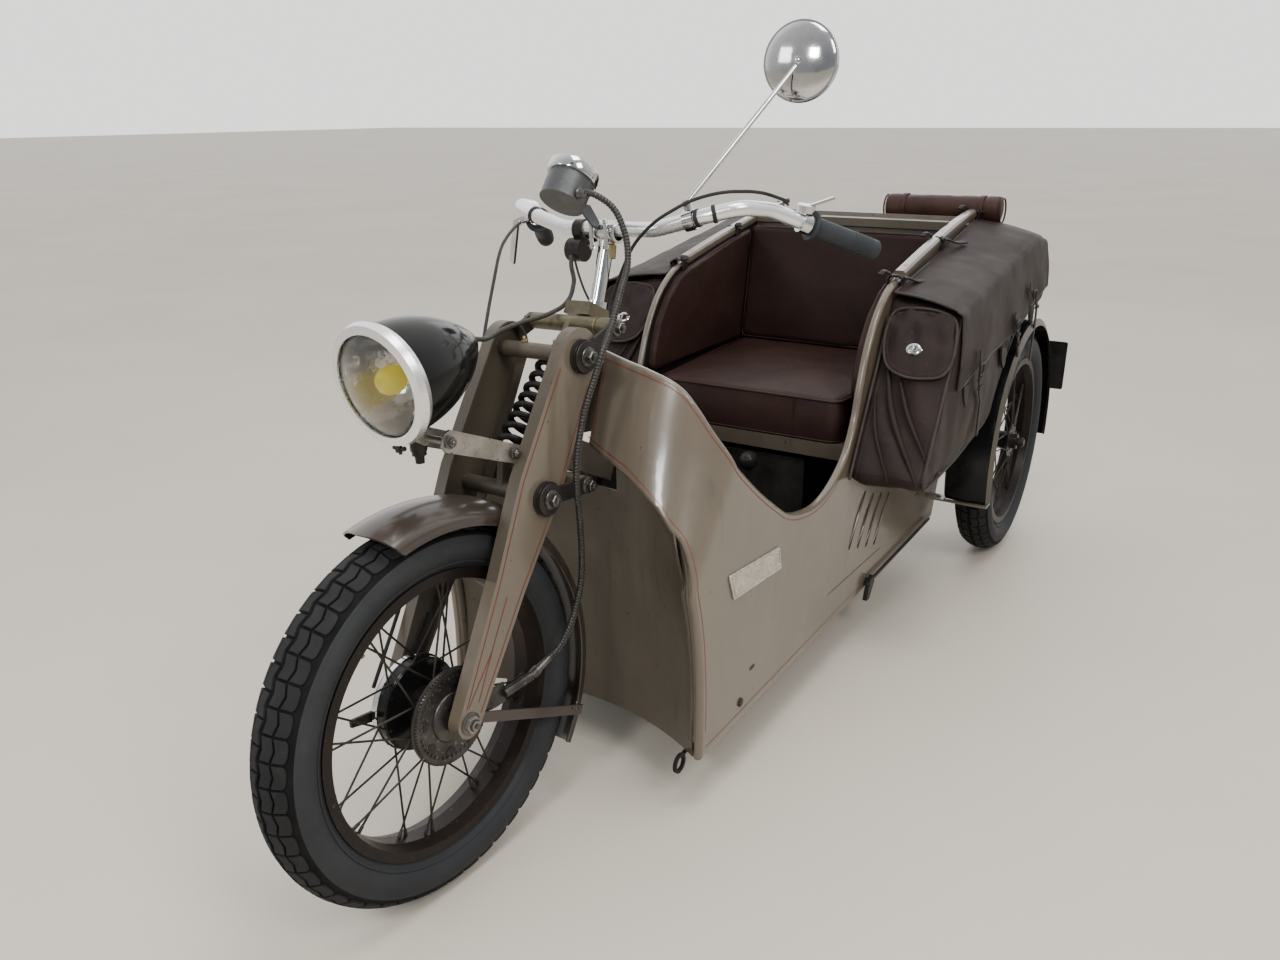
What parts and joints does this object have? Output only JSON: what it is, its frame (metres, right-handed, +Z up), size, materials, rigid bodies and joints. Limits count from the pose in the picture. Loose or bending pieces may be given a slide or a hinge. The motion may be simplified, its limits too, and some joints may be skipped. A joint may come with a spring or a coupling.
{
  "type": "invalid carriage",
  "caption": "Open single-seat motorised invalid carriage with a tiller-steered front wheel in a girder fork, a low beige body, a leather bench seat, side bags and rear wheels on leaf springs.",
  "frame": {"origin": "on the floor under the middle of the vehicle's outline, on its centre line", "axes": "+X towards the front wheel, +Y to the rider's left, +Z up"},
  "size_m": [2.4521, 0.939, 1.2872],
  "materials": {
    "bag_leather": "smooth dark plum brown",
    "black_paint": "glossy black",
    "black_plastic": "matt",
    "body_paint": "semi-gloss khaki beige",
    "brass": "tarnished",
    "cable": "black braid and rubber",
    "cast": "rough",
    "chrome": "polished",
    "dark_steel": "oiled dark steel",
    "floor": "black, dull",
    "frame_paint": "satin black brown",
    "glass": "clear",
    "grip_rubber": "matt",
    "guard_paint": "glossy dark brown",
    "mirror_back": "polished",
    "plate": "gloss black",
    "red_lens": "clear red",
    "rim_paint": "worn brown red paint",
    "seat_leather": "smooth oxblood",
    "steel": "worn steel",
    "tyre": "dull rubber"
  },
  "bodies": {
    "body": {"backrest_pad": "seat_leather", "chassis_frame": "frame_paint", "engine_block": "cast", "floor_pan": "floor", "front_arch_panel": "body_paint", "gear_lever": "black_plastic", "left_side_panel": "body_paint", "number_plate": "plate", "panniers": "bag_leather", "rear_axle": "steel", "rear_mudguard_stays": "body_paint", "rear_mudguards": "body_paint", "rear_panel": "body_paint", "rear_roll": "bag_leather", "rear_springs": "dark_steel", "right_side_panel": "body_paint", "seat_cushion": "seat_leather", "seat_frame": "body_paint", "side_pads": "seat_leather", "sill_brake_rod": "dark_steel", "steering_head": "body_paint", "tail_lamp": "red_lens"},
    "fork": {"control_cable": "cable", "dip_switch": "black_plastic", "fork_blades": "body_paint", "fork_links": "dark_steel", "fork_spring": "black_paint", "front_axle": "steel", "front_brake_cable": "cable", "front_brake_plate": "black_paint", "front_mudguard": "guard_paint", "front_mudguard_stays": "guard_paint", "handlebar": "chrome", "handlebar_grips": "grip_rubber", "handlebar_levers": "chrome", "handlebar_stem": "chrome", "headlamp_bracket": "steel", "headlamp_bulb_and_reflector": "mirror_back", "headlamp_lens": "glass", "headlamp_rim": "chrome", "headlamp_shell": "black_paint", "lamp_wiring": "cable", "mirror": "mirror_back", "speedometer": "chrome", "speedometer_cable": "cable", "speedometer_drive": "steel", "steering_stem": "brass", "switch_wire": "cable"},
    "front_wheel": {"front_tyre": "tyre", "front_rim": "rim_paint", "front_hub": "dark_steel"},
    "rear_left_wheel": {"rear_left_tyre": "tyre", "rear_left_rim": "rim_paint", "rear_left_hub": "dark_steel"},
    "rear_right_wheel": {"rear_right_tyre": "tyre", "rear_right_rim": "rim_paint", "rear_right_hub": "dark_steel"}
  },
  "joints": [
    {"name": "steering", "type": "hinge", "parent": "body", "child": "fork", "pos_m": [0.484, 0, 0.831], "axis": [-0.454, 0, 0.891], "range_deg": [-25.8, 34.2]},
    {"name": "front_wheel_spin", "type": "hinge", "parent": "fork", "child": "front_wheel", "pos_m": [0.93462, -0.01178, 0.2998], "axis": [0.0653, 0.9973, 0.0333], "continuous": true},
    {"name": "rear_left_wheel_spin", "type": "hinge", "parent": "body", "child": "rear_left_wheel", "pos_m": [-0.865, 0.397, 0.3], "axis": [0, 1, 0], "continuous": true},
    {"name": "rear_right_wheel_spin", "type": "hinge", "parent": "body", "child": "rear_right_wheel", "pos_m": [-0.865, -0.397, 0.3], "axis": [0, 1, 0], "continuous": true}
  ]
}
